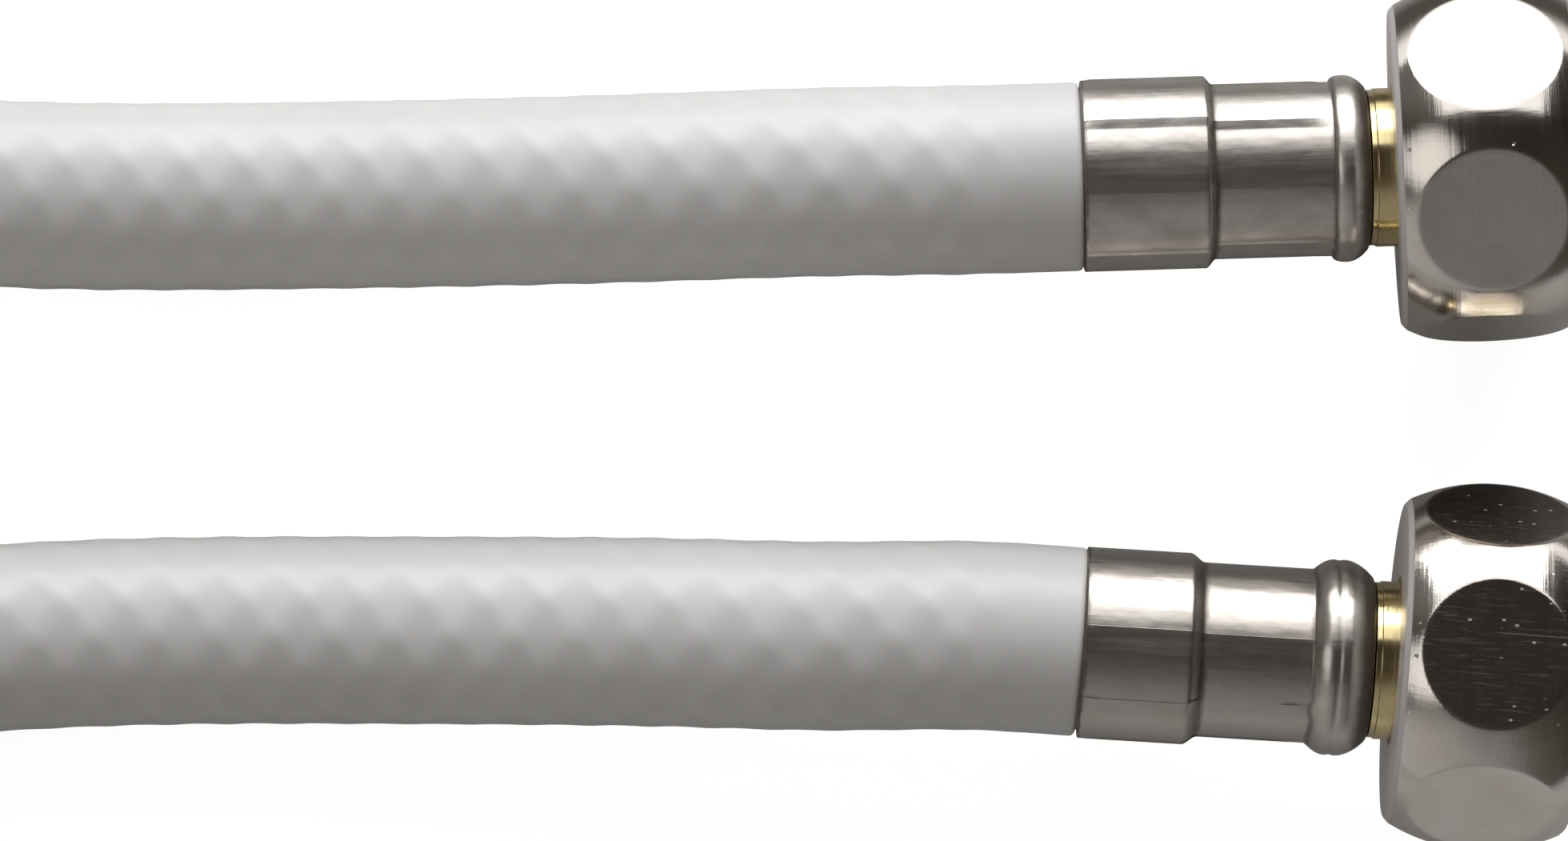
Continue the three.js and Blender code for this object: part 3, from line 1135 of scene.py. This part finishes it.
@dataclass
class FlatSeal:
    """Flat ring of black rubber in front of the flange."""

    material: bpy.types.Material
    back: float = 27.05
    thickness: float = 2.0
    outer: float = 8.7
    inner: float = 5.0
    edge: float = 0.22
    sharp: float = 50.0

    def build(self, name: str) -> bpy.types.Object:
        """Builds the ring along its own axis, the ferrule's mouth at zero.

        Args:
            name: Its name.

        Returns:
            The ring.
        """
        front = self.back + self.thickness
        corners = [(self.back, self.outer), (front, self.outer),
                   (front, self.inner), (self.back, self.inner)]
        profile = rounded(corners, [self.edge] * len(corners), 5)
        points, faces = turned(profile, ALL_ROUND)
        return make_piece(name, points, faces, self.material, self.sharp)


@dataclass
class UnionNut:
    """Hexagon nut turned to a ball, bored and threaded. Its middle is at zero.

    Each of its six sectors is a flat with a soft round edge, and the ball around it.
    """

    material: bpy.types.Material
    flat: float = 12.0
    ball: float = 13.1
    half: float = 6.45
    edge: float = 0.4
    face: float = 11.2
    hole: float = 6.05
    back_wall: float = 2.0
    crest: float = 9.32
    root: float = 10.4
    pitch: float = 1.814
    lead_in: float = 0.8
    thread_slope: float = 1.5
    thread_clear: float = 0.8
    thread_run: float = 1.2
    bore_step: float = 0.13
    face_edge: float = 0.12
    mouth_edge: float = 0.1
    hole_edge: float = 0.15
    soft: float = 0.22
    side_steps: int = 16
    flat_rings: tuple[float, ...] = (1.3, 2.6, 3.9, 4.7)
    sharp: float = 18.0
    weld: float = 0.002

    def _ball_end(self) -> tuple[float, float]:
        """Where the ball ends: how far from the nut's middle, and its radius there."""
        reach = self.half - self.edge
        return reach, math.sqrt(self.ball ** 2 - reach ** 2)

    def _half_angle(self) -> float:
        """The angle from a flat's middle at which the ball starts."""
        return math.acos(self.flat / self.ball)

    def _limit(self, around: np.ndarray) -> np.ndarray:
        """How far one of the six sectors reaches from the middle of its flat.

        Args:
            around: Angles about the flat's middle, from the nut's axis.

        Returns:
            The reach as an angle seen from the nut's middle.
        """
        reach, _ = self._ball_end()
        to_end = np.arcsin(np.clip(
            reach / (self.ball * np.maximum(np.abs(np.cos(around)), 1e-9)), -1, 1))
        to_side = np.arctan(math.tan(math.pi / 6) / np.maximum(np.abs(np.sin(around)), 1e-9))
        return np.minimum(to_end, to_side)

    def _around(self) -> np.ndarray:
        """Angles about a flat's middle, with one at each corner of its sector.

        Returns:
            The angles in radians, from the nut's axis.
        """
        reach, ring = self._ball_end()
        corner = math.atan2(ring / 2, reach)
        part = np.concatenate([
            np.linspace(0, corner, self.side_steps, endpoint=False),
            np.linspace(corner, math.pi / 2, self.side_steps, endpoint=False)])
        back = math.pi - np.concatenate([[math.pi / 2], part[:0:-1]])
        half_turn = np.concatenate([part, back])
        return np.concatenate([half_turn, half_turn + math.pi])

    def _sector(self) -> tuple[np.ndarray, int]:
        """Points of one sector in its own axes: nut axis, sideways, outwards.

        Returns:
            Rings of points from the flat's middle outwards, and the points in a ring.
        """
        around = self._around()
        start = self._half_angle()
        begin = start + self.soft / self.ball
        limit = self._limit(around)
        rim = self.flat * math.tan(start)
        unit = np.stack([np.cos(around), np.sin(around)], axis=1)
        rings: list[np.ndarray] = []

        def on_flat(radius: float) -> np.ndarray:
            """A ring on the flat."""
            return np.column_stack([unit * radius, np.full(len(around), self.flat)])

        def on_ball(tilt: np.ndarray) -> np.ndarray:
            """A ring on the ball, at an angle from the flat's middle."""
            side = (self.ball * np.sin(tilt))[:, None]
            return np.column_stack([unit * side, self.ball * np.cos(tilt)])

        for radius in self.flat_rings:
            rings.append(on_flat(radius))
        first = on_flat(rim - self.soft)
        last = on_ball(np.full(len(around), begin))
        edge = on_flat(rim)
        for t in np.linspace(0, 1, 6):
            rings.append((1 - t) ** 2 * first + 2 * t * (1 - t) * edge + t * t * last)
        for t in np.linspace(0, 1, 8)[1:]:
            rings.append(on_ball(begin + (limit - begin) * t))
        return np.array(rings), len(around)

    def _shell(self) -> tuple[np.ndarray, list[list[int]]]:
        """The outside: six sectors side by side.

        Returns:
            Points and faces.
        """
        rings, count = self._sector()
        middle = np.array([[0.0, 0.0, self.flat]])
        points: list[np.ndarray] = []
        faces: list[list[int]] = []
        for k in range(6):
            base = sum(len(block) for block in points)
            local = np.concatenate([middle, rings.reshape(-1, 3)])
            turn = k * math.pi / 3
            along, side, out = local.T
            points.append(np.column_stack([
                along, side * math.cos(turn) + out * math.sin(turn),
                out * math.cos(turn) - side * math.sin(turn)]))
            for j in range(count):
                n = (j + 1) % count
                faces.append([base, base + 1 + j, base + 1 + n])
                for i in range(len(rings) - 1):
                    a = base + 1 + i * count
                    b = a + count
                    faces.append([a + j, b + j, b + n, a + n])
        return np.concatenate(points), faces

    def _end_angles(self) -> np.ndarray:
        """Angles of the points on the end edges of all six sectors.

        Returns:
            The angles in radians, from +Z towards +Y.
        """
        around = self._around()
        limit = self._limit(around)
        side = self.ball * np.sin(limit) * np.sin(around)
        out = self.ball * np.cos(limit)
        along = self.ball * np.sin(limit) * np.cos(around)
        on_end = along > self._ball_end()[0] - 1e-6
        part = np.sort(np.arctan2(side[on_end], out[on_end]))[:-1]
        return np.concatenate([part + k * math.pi / 3 for k in range(6)])

    def _inner_profile(self) -> Profile:
        """From the front of the ball over the front face, bore, back wall and back face.

        Returns:
            Pairs of distance from the nut's middle and radius.
        """
        reach, ring = self._ball_end()
        mouth = self.crest + self.lead_in
        depth = 2 * self.half - self.back_wall
        front = rounded([(reach, ring), (self.half, self.face), (self.half, mouth),
                         (self.half - self.lead_in, self.crest)],
                        [0, self.face_edge, self.mouth_edge, 0], 3)
        wall = -self.half + self.back_wall
        steps = int((depth - self.lead_in) / self.bore_step)
        bore = [(float(x), self.crest) for x in
                np.linspace(self.half - self.lead_in, wall, steps)[1:]]
        back = rounded([(wall, self.crest), (wall, self.hole), (-self.half, self.hole),
                        (-self.half, self.face), (-reach, ring)],
                       [0, self.hole_edge, self.hole_edge, self.face_edge, 0], 3)
        return [*front, *bore, *back[1:]]

    def _thread(self, along: np.ndarray, radius: np.ndarray, angle: np.ndarray) -> np.ndarray:
        """Cuts the thread into the bore.

        Args:
            along: Distance from the nut's middle.
            radius: The plain radius.
            angle: Angle about the axis.

        Returns:
            The radius with the thread in it.
        """
        phase = 2 * math.pi * along / self.pitch - angle
        wave = 0.5 + 0.5 * np.sin(phase)
        cut = np.clip(self.thread_slope * (wave - 0.5) + 0.5, 0, 1)
        wall = -self.half + self.back_wall
        fade = np.clip((along - wall - self.thread_clear) / self.thread_run, 0, 1)
        in_bore = (np.abs(radius - self.crest) < 1e-6) | (
            (radius > self.crest) & (radius < self.root) & (along > self.half - self.lead_in))
        deeper = np.maximum(radius, self.crest + (self.root - self.crest) * cut * fade)
        ahead = along < self.half - 0.02
        return np.where(in_bore & ahead, deeper, radius)

    def build(self, name: str, roll: float) -> bpy.types.Object:
        """Builds the nut along its own axis.

        Args:
            name: Its name.
            roll: How far a flat is turned from the top towards +Y, in degrees.

        Returns:
            The nut.
        """
        shell, shell_faces = self._shell()
        profile = self._inner_profile()
        angles = -self._end_angles()
        inner, grid = turned(profile, angles, self._thread)
        count = len(profile)
        open_faces = [face for face in grid.tolist() if face[0] % count != count - 1]
        offset = len(shell)
        faces = shell_faces + [[n + offset for n in face] for face in open_faces]
        along, side, up = np.concatenate([shell, inner]).T
        turn = math.radians(roll)
        points = np.column_stack([
            along, side * math.cos(turn) + up * math.sin(turn),
            up * math.cos(turn) - side * math.sin(turn)])
        return make_piece(name, points, faces, self.material, self.sharp, self.weld)


class End(Enum):
    """The two ends of the hose, as they lie beside each other."""

    BACK = "back"
    FRONT = "front"


@dataclass
class EndFitting:
    """One end: ferrule, tail, seal and nut, placed where the solids are.

    The nut is cocked on the tail, about a point on the axis. The squeeze is how far into the
    ferrule the hose's rings lie there, and their radii.
    """

    end: End
    pivot: Triple
    yaw: float
    nut_yaw: float
    nut_lift: float
    nut_roll: float
    ferrule: CrimpFerrule
    tail: HoseTail
    seal: FlatSeal
    nut: UnionNut
    squeeze: Profile
    slope: float = 1.0
    cock_point: float = 25.8
    nut_back: float = 3.5

    def _frame(self) -> Matrix:
        """The fitting's axes, with the point that the nut cocks about at their origin."""
        turn = Euler((0, math.radians(-self.slope), math.radians(self.yaw)), "XYZ")
        return Matrix.Translation(Vector(self.pivot) * MM) @ turn.to_matrix().to_4x4()

    def behind_mouth(self, distance: float) -> np.ndarray:
        """A point on the axis behind the ferrule's mouth, in millimetres."""
        spot = self._frame() @ (Vector((-self.cock_point - distance, 0, 0)) * MM)
        return np.array(spot) / MM

    def _settle(
        self,
        piece: bpy.types.Object,
        place: Matrix,
        node: str,
        body: str,
    ) -> None:
        """Puts a piece in its place and on its body, and hides the solid that it stands for.

        Args:
            piece: The piece.
            place: Where its own axes lie.
            node: The solid that it stands for.
            body: The body that it rides on.
        """
        piece.matrix_world = place
        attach(piece, body)
        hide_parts(node)
        log.info("%s on %s", piece.name, body)

    def build(self) -> None:
        """Builds and places the four pieces."""
        name = self.end.value
        here = self._frame()
        mouth = here @ Matrix.Translation(Vector((-self.cock_point, 0, 0)) * MM)
        sleeve = self.ferrule.build(f"{name}_crimp_sleeve")
        self._settle(sleeve, mouth, f"{name}_ferrule", "root")
        tail = self.tail.build(f"{name}_tail")
        self._settle(tail, mouth, f"{name}_hose_tail", "root")
        seal = self.seal.build(f"{name}_seal_ring")
        self._settle(seal, mouth, f"{name}_flat_seal", "root")
        cock = Euler((0, math.radians(-self.nut_lift), math.radians(self.nut_yaw)), "XYZ")
        shift = Matrix.Translation(Vector((self.nut.half - self.nut_back, 0, 0)) * MM)
        nut = self.nut.build(f"{name}_nut", self.nut_roll)
        place = here @ cock.to_matrix().to_4x4() @ shift
        self._settle(nut, place, f"{name}_union_nut", f"{name}_nut")


# ---------------------------------------------------------------------------------------------
# Studio


@dataclass(frozen=True)
class Panel:
    """A flat soft light, aimed at the fittings."""

    name: str
    heading: float
    height: float
    distance: float
    wide: float
    tall: float
    glow: float

    def hang(self, target: Vector) -> None:
        """Hangs the light, out of the camera's sight.

        Args:
            target: The point that it faces.
        """
        heading, height = math.radians(self.heading), math.radians(self.height)
        way = Vector((math.cos(height) * math.cos(heading), math.cos(height) * math.sin(heading),
                      math.sin(height)))
        data = bpy.data.lights.new(self.name, "AREA")
        data.shape = "RECTANGLE"
        data.size = self.wide
        data.size_y = self.tall
        data.energy = self.glow * math.pi * self.wide * self.tall
        lamp = put_in_scene(self.name, data)
        lamp.location = target + way * self.distance
        lamp.rotation_euler = way.to_track_quat("Z", "Y").to_euler()
        lamp.visible_camera = False


@dataclass
class Studio:
    """Camera straight above, pale floor, dim room and soft light from the far side."""

    view_point: Triple = (-0.03912, -0.00018, 0.4775)
    lens: float = 149.46
    target: Triple = (0.0, 0.0, 0.012)
    panels: tuple[Panel, ...] = (
        Panel("key_panel", 90, 17.5, 1.0, 1.15, 0.63, 4.15),
        Panel("upper_panel", 90, 46.5, 1.0, 1.2, 0.38, 1.35),
    )
    end_light: Triple = (-0.643, 0.0, 0.766)
    end_glow: float = 1.1
    room_glow: float = 2.2
    dim_room: Triple = (1.0, 0.82, 0.7)
    lit_room: Triple = (1.0, 0.985, 0.965)
    floor_half: float = 4.0
    floor_height: float = -0.0001

    def camera(self) -> None:
        """Sets up the camera."""
        data = bpy.data.cameras.new("camera")
        data.sensor_width = 36.0
        data.lens = self.lens
        data.clip_start = 0.01
        camera = put_in_scene("camera", data)
        camera.location = self.view_point
        bpy.context.scene.camera = camera

    def lamps(self) -> None:
        """Hangs the soft lights."""
        for panel in self.panels:
            panel.hang(Vector(self.target))

    def world(self) -> None:
        """Lights the room: dim and brownish above and past the fittings, paler low down.

        A soft light stands behind the hoses.
        """
        world = bpy.data.worlds.new("room")
        bpy.context.scene.world = world
        world.use_nodes = True
        sheet = NodeSheet(world.node_tree)
        way = sheet.out(sheet.node("ShaderNodeTexCoord"), "Generated")
        ahead, aside, up = sheet.axes(way)
        rise = sheet.ramp(up, [
            (0.0, 0.26), (0.5, 0.25), (0.74, 0.19), (0.9, 0.09), (0.97, 0.05), (1.0, 0.045)])
        across = aside * 0.5 + 0.5
        along = ahead * 0.5 + 0.5
        far = sheet.ramp(across, [(0.2, 1.0), (0.35, 0.9), (0.52, 0.85), (0.7, 0.33)])
        past = sheet.ramp(along, [
            (0.1, 0.85), (0.3, 0.75), (0.45, 0.55), (0.54, 0.5), (0.7, 0.22), (0.85, 0.1)])
        behind = sheet.ramp(along, [(0.3, 0.8), (0.45, 0.0)], True)
        middle = sheet.ramp(across, [(0.22, 0.0), (0.4, 1.0), (0.62, 1.0), (0.8, 0.0)], True)
        facing = sheet.node(
            "ShaderNodeVectorMath", {"operation": "DOT_PRODUCT"}, {0: way, 1: self.end_light})
        glow = sheet.ramp(sheet.out(facing, "Value"), [(0.92, 0.0), (0.99, 1.0)], True)
        room = rise * far * past * (1 - behind * middle) * self.room_glow
        level = room + glow * self.end_glow
        shade = sheet.mix(
            sheet.ramp(level, [(0.03, 0.0), (0.2, 1.0)]), self.dim_room, self.lit_room)
        seen = sheet.out(sheet.node("ShaderNodeLightPath"), "Is Camera Ray")
        back = sheet.node("ShaderNodeBackground", {}, {
            "Color": sheet.mix(seen, shade, WHITE),
            "Strength": level * (1 - seen) + seen})
        sheet.node("ShaderNodeOutputWorld", {}, {"Surface": sheet.out(back)})

    def floor(self) -> None:
        """Lays the floor."""
        mesh = bpy.data.meshes.new("floor")
        half = self.floor_half
        mesh.from_pydata(
            [(-half, -half, 0), (half, -half, 0), (half, half, 0), (-half, half, 0)], [],
            [(0, 1, 2, 3)])
        mesh.materials.append(StudioPaper().make())
        floor = put_in_scene("floor", mesh)
        floor.location = (0, 0, self.floor_height)

    def build(self) -> None:
        """Builds the studio."""
        self.camera()
        self.lamps()
        self.world()
        self.floor()
        bpy.context.scene.view_settings.view_transform = "Standard"
        log.info("studio ready")


# ---------------------------------------------------------------------------------------------
# The whole connection hose


def make_fittings() -> dict[End, EndFitting]:
    """Sizes both end fittings and gives them their finishes.

    Returns:
        The fitting of each end.
    """
    clean = NickelPlating("nickel_plating", wear=0.12, rubbed=1.0).make()
    worn = NickelPlating("worn_nickel_plating", wear=1.0, rubbed=0.0).make()
    brass = TurnedBrass().make()
    rubber = SealRubber().make()
    back_ferrule = CrimpFerrule(
        "back_crimped_steel", (0.7, 0.667, 0.625), band=8.7, shoulder=0.7, ridge_turn=15.6,
        ridge_shares=(0.12, 0.12, 0.5, 0.7, 0.7, 0.6, 0.8, 1.1), length=20.3,
        bead=[(17.7, 6.23), (17.78, 6.4), (18.0, 6.57), (18.4, 6.66), (18.85, 6.67),
              (19.25, 6.58), (19.6, 6.4), (19.9, 6.17), (20.12, 5.95), (20.25, 5.78),
              (20.3, 5.6)])
    # The front sleeve is the same steel as the back one; its darker colour is painted shade.
    front_ferrule = CrimpFerrule(
        "front_shaded_crimped_steel", (0.57, 0.538, 0.498), band=7.4, shoulder=1.1, ridge_turn=-9.5,
        ridge_shares=(0.5, 0.22, 0.5, 0.7, 0.7, 0.6, 0.6, 0.2), length=20.55,
        bead=[(16.2, 6.23), (16.4, 6.38), (16.8, 6.7), (17.25, 6.92), (17.65, 6.99),
              (18.0, 6.94), (18.35, 7.0), (18.8, 6.95), (19.3, 6.76), (19.8, 6.46),
              (20.2, 6.12), (20.45, 5.85), (20.55, 5.6)])
    back = EndFitting(
        End.BACK, pivot=(7.94, 18.02, 12.8624), yaw=1.7, nut_yaw=0.9, nut_lift=3.0,
        nut_roll=39.0, ferrule=back_ferrule, tail=HoseTail(brass, back_ferrule.length),
        seal=FlatSeal(rubber), nut=UnionNut(clean),
        squeeze=[(1.5, 6.2), (4.5, 6.2), (8.6, 6.2), (9.3, 5.58), (13.0, 5.58), (17.3, 5.58)])
    front = EndFitting(
        End.FRONT, pivot=(7.94, -17.56, 12.4191), yaw=-3.4, nut_yaw=-0.8, nut_lift=0.9,
        nut_roll=6.4, ferrule=front_ferrule, tail=HoseTail(brass, front_ferrule.length),
        seal=FlatSeal(rubber), nut=UnionNut(worn),
        squeeze=[(1.5, 6.2), (4.5, 6.2), (7.3, 6.2), (8.4, 5.58), (12.0, 5.58), (15.8, 5.58)])
    return {End.BACK: back, End.FRONT: front}


def main() -> None:
    """Builds the studio, the hose and both fittings."""
    logging.basicConfig(level=logging.INFO, format="%(message)s")
    Studio().build()
    fittings = make_fittings()
    hose = BraidedHose(HosePlastic(), fittings[End.BACK], fittings[End.FRONT]).build()
    log.info("%s built", hose.name)
    for fitting in fittings.values():
        fitting.build()
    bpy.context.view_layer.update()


if __name__ == "__main__":
    main()
